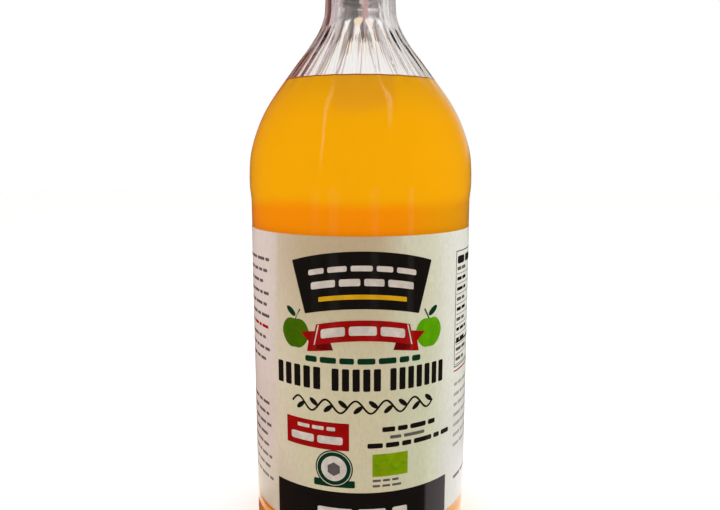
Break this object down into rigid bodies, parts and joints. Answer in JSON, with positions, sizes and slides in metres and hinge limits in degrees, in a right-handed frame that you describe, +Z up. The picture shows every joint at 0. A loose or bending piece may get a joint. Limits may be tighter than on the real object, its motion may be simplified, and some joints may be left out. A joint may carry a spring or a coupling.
{
  "type": "vinegar bottle",
  "caption": "Shut round glass bottle of vinegar with a fluted sloping shoulder, a narrow neck, a wrap-round paper label and a ribbed screw cap.",
  "frame": {"origin": "middle of the base, on the plane that the bottle stands on", "axes": "+Z up along the bottle's axis; the front of the label faces -Y; +X is to the right seen from the front"},
  "size_m": [0.09, 0.09, 0.249],
  "materials": {
    "clear_glass": "clear and glossy, pressed into shallow flutes on the shoulder",
    "vinegar": "cloudy amber liquid, darker towards the base",
    "label_paper": "off-white varnished paper, printed in black, red, green and gold",
    "cap_plastic": "satin moulded plastic with upright grip ribs",
    "ring_plastic": "satin moulded plastic, joined to the cap by small bridges"
  },
  "bodies": {
    "root": {"bottle": "clear_glass", "vinegar": "vinegar", "label": "label_paper", "cap": "cap_plastic", "tamper_ring": "ring_plastic"}
  },
  "joints": []
}
